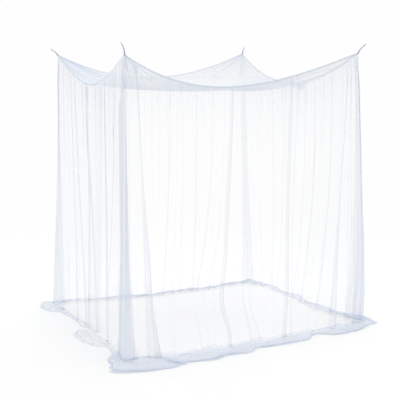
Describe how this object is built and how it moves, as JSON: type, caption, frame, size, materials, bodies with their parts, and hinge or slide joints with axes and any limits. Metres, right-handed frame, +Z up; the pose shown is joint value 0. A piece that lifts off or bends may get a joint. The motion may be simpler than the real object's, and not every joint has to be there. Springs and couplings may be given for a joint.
{
  "type": "mosquito net canopy",
  "caption": "Sheer box mosquito net hung by its four corners: sagging roof, gathered walls with an overlapping door edge, hem pooled on the floor.",
  "frame": {"origin": "the middle of the four hanging points, in the plane of the canopy's top corners; the floor is 2.40 m below it", "axes": "+X along the front edge to the right, +Y from the front to the back, +Z up"},
  "size_m": [2.696, 2.4467, 2.4827],
  "materials": {
    "net_roof": "sheer polyester mesh",
    "net_wall": "sheer polyester mesh",
    "binding_tape": "woven tape",
    "tie_tape": "woven tape"
  },
  "bodies": {
    "root": {"roof_panel": "net_roof", "front_panel": "net_wall", "front_flap": "net_wall", "right_panel": "net_wall", "back_panel": "net_wall", "left_rear_panel": "net_wall", "left_door_panel": "net_wall", "binding_front": "binding_tape", "binding_right": "binding_tape", "binding_back": "binding_tape", "binding_left": "binding_tape", "tie_front_left": "tie_tape", "tie_front_right": "tie_tape", "tie_back_right": "tie_tape", "tie_back_left": "tie_tape"}
  },
  "joints": []
}
